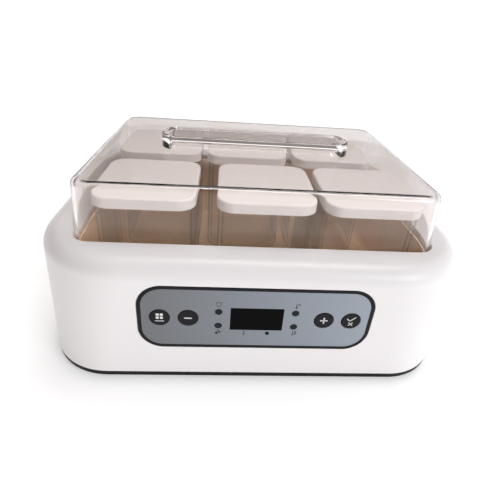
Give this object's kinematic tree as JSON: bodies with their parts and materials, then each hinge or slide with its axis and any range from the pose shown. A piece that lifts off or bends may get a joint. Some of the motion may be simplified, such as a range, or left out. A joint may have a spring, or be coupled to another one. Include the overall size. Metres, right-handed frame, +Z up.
{
  "type": "yogurt maker",
  "caption": "Countertop yogurt maker: a rounded white housing with a heated tub, square glass jars with caps, a clear lift-off cover with a flat grip, and a front button panel.",
  "frame": {"origin": "centre of the footprint on the table, under the rubber feet", "axes": "+X to the right along the long side, +Y to the back, +Z up; the button panel faces -Y"},
  "size_m": [0.2674, 0.2032, 0.1316],
  "materials": {
    "black_gloss": "black plastic, smooth",
    "black_plastic": "black moulded plastic, fine matt texture",
    "board_green": "circuit board laminate",
    "cap_plastic": "white satin plastic",
    "clear_plastic": "clear glossy plastic",
    "component_dark": "moulded component",
    "connector_white": "nylon connector",
    "contact_brass": "plated contact pins",
    "fascia_grey": "silver-grey satin sheet",
    "felt": "needled insulation felt",
    "foot_rubber": "dark rubber",
    "jar_glass": "clear pressed glass",
    "lens_dark": "dark tinted lens",
    "sensor_metal": "plain metal",
    "silicone": "silicone",
    "steel_screw": "zinc-plated steel",
    "tub_metal": "warm satin anodised sheet",
    "white_plastic": "white glossy moulded plastic",
    "window_dark": "dark tinted acrylic",
    "wire_cover": "insulated wire"
  },
  "bodies": {
    "housing": {"base_pan": "black_plastic", "base_screws": "steel_screw", "board_connectors": "connector_white", "board_screws": "steel_screw", "button_switches": "component_dark", "control_board": "board_green", "control_ribbon": "wire_cover", "control_socket": "connector_white", "display_module": "component_dark", "display_window": "window_dark", "filter_capacitor": "component_dark", "heater_leads": "wire_cover", "heater_mat": "silicone", "heater_relay": "component_dark", "indicator_leds": "lens_dark", "indicator_lenses": "lens_dark", "inlet_leads": "wire_cover", "inlet_pins": "contact_brass", "inner_tub": "tub_metal", "insulation_pad": "felt", "outer_housing": "white_plastic", "panel_bezel": "black_gloss", "panel_fascia": "fascia_grey", "power_board": "board_green", "power_inlet": "black_plastic", "rubber_feet": "foot_rubber", "sensor_lead": "wire_cover", "temperature_sensor": "sensor_metal", "thermal_fuse": "sensor_metal", "transformer": "component_dark", "tub_gasket": "silicone"},
    "cover": {"clear_cover": "clear_plastic"},
    "jar_front_left_body": {"jar_front_left": "jar_glass"},
    "cap_front_left_body": {"cap_front_left": "cap_plastic"},
    "jar_front_middle_body": {"jar_front_middle": "jar_glass"},
    "cap_front_middle_body": {"cap_front_middle": "cap_plastic"},
    "jar_front_right_body": {"jar_front_right": "jar_glass"},
    "cap_front_right_body": {"cap_front_right": "cap_plastic"},
    "jar_back_left_body": {"jar_back_left": "jar_glass"},
    "cap_back_left_body": {"cap_back_left": "cap_plastic"},
    "jar_back_middle_body": {"jar_back_middle": "jar_glass"},
    "cap_back_middle_body": {"cap_back_middle": "cap_plastic"},
    "jar_back_right_body": {"jar_back_right": "jar_glass"},
    "cap_back_right_body": {"cap_back_right": "cap_plastic"},
    "button_function_body": {"button_function": "black_gloss"},
    "button_minus_body": {"button_minus": "black_gloss"},
    "button_plus_body": {"button_plus": "black_gloss"},
    "button_confirm_body": {"button_confirm": "black_gloss"}
  },
  "joints": [
    {"name": "cover_lift", "type": "slide", "parent": "housing", "child": "cover", "axis": [0, 0, 1], "range_m": [0, 0.24]},
    {"name": "jar_front_left_lift", "type": "slide", "parent": "housing", "child": "jar_front_left_body", "axis": [0, 0, 1], "range_m": [0, 0.1]},
    {"name": "cap_front_left_lift", "type": "slide", "parent": "jar_front_left_body", "child": "cap_front_left_body", "axis": [0, 0, 1], "range_m": [0, 0.03]},
    {"name": "jar_front_middle_lift", "type": "slide", "parent": "housing", "child": "jar_front_middle_body", "axis": [0, 0, 1], "range_m": [0, 0.1]},
    {"name": "cap_front_middle_lift", "type": "slide", "parent": "jar_front_middle_body", "child": "cap_front_middle_body", "axis": [0, 0, 1], "range_m": [0, 0.03]},
    {"name": "jar_front_right_lift", "type": "slide", "parent": "housing", "child": "jar_front_right_body", "axis": [0, 0, 1], "range_m": [0, 0.1]},
    {"name": "cap_front_right_lift", "type": "slide", "parent": "jar_front_right_body", "child": "cap_front_right_body", "axis": [0, 0, 1], "range_m": [0, 0.03]},
    {"name": "jar_back_left_lift", "type": "slide", "parent": "housing", "child": "jar_back_left_body", "axis": [0, 0, 1], "range_m": [0, 0.1]},
    {"name": "cap_back_left_lift", "type": "slide", "parent": "jar_back_left_body", "child": "cap_back_left_body", "axis": [0, 0, 1], "range_m": [0, 0.03]},
    {"name": "jar_back_middle_lift", "type": "slide", "parent": "housing", "child": "jar_back_middle_body", "axis": [0, 0, 1], "range_m": [0, 0.1]},
    {"name": "cap_back_middle_lift", "type": "slide", "parent": "jar_back_middle_body", "child": "cap_back_middle_body", "axis": [0, 0, 1], "range_m": [0, 0.03]},
    {"name": "jar_back_right_lift", "type": "slide", "parent": "housing", "child": "jar_back_right_body", "axis": [0, 0, 1], "range_m": [0, 0.1]},
    {"name": "cap_back_right_lift", "type": "slide", "parent": "jar_back_right_body", "child": "cap_back_right_body", "axis": [0, 0, 1], "range_m": [0, 0.03]},
    {"name": "button_function_press", "type": "slide", "parent": "housing", "child": "button_function_body", "axis": [0, 1, 0], "range_m": [0, 0.0005], "stiffness_N_per_m": 300},
    {"name": "button_minus_press", "type": "slide", "parent": "housing", "child": "button_minus_body", "axis": [0, 1, 0], "range_m": [0, 0.0005], "stiffness_N_per_m": 300},
    {"name": "button_plus_press", "type": "slide", "parent": "housing", "child": "button_plus_body", "axis": [0, 1, 0], "range_m": [0, 0.0005], "stiffness_N_per_m": 300},
    {"name": "button_confirm_press", "type": "slide", "parent": "housing", "child": "button_confirm_body", "axis": [0, 1, 0], "range_m": [0, 0.0005], "stiffness_N_per_m": 300}
  ],
  "couplings": [
    {"joint": "jar_front_left_lift", "follows": "cover_lift", "ratio": 0.4},
    {"joint": "cap_front_left_lift", "follows": "cover_lift", "ratio": 0.12},
    {"joint": "jar_front_middle_lift", "follows": "cover_lift", "ratio": 0.4},
    {"joint": "cap_front_middle_lift", "follows": "cover_lift", "ratio": 0.12},
    {"joint": "jar_front_right_lift", "follows": "cover_lift", "ratio": 0.4},
    {"joint": "cap_front_right_lift", "follows": "cover_lift", "ratio": 0.12},
    {"joint": "jar_back_left_lift", "follows": "cover_lift", "ratio": 0.4},
    {"joint": "cap_back_left_lift", "follows": "cover_lift", "ratio": 0.12},
    {"joint": "jar_back_middle_lift", "follows": "cover_lift", "ratio": 0.4},
    {"joint": "cap_back_middle_lift", "follows": "cover_lift", "ratio": 0.12},
    {"joint": "jar_back_right_lift", "follows": "cover_lift", "ratio": 0.4},
    {"joint": "cap_back_right_lift", "follows": "cover_lift", "ratio": 0.12}
  ]
}
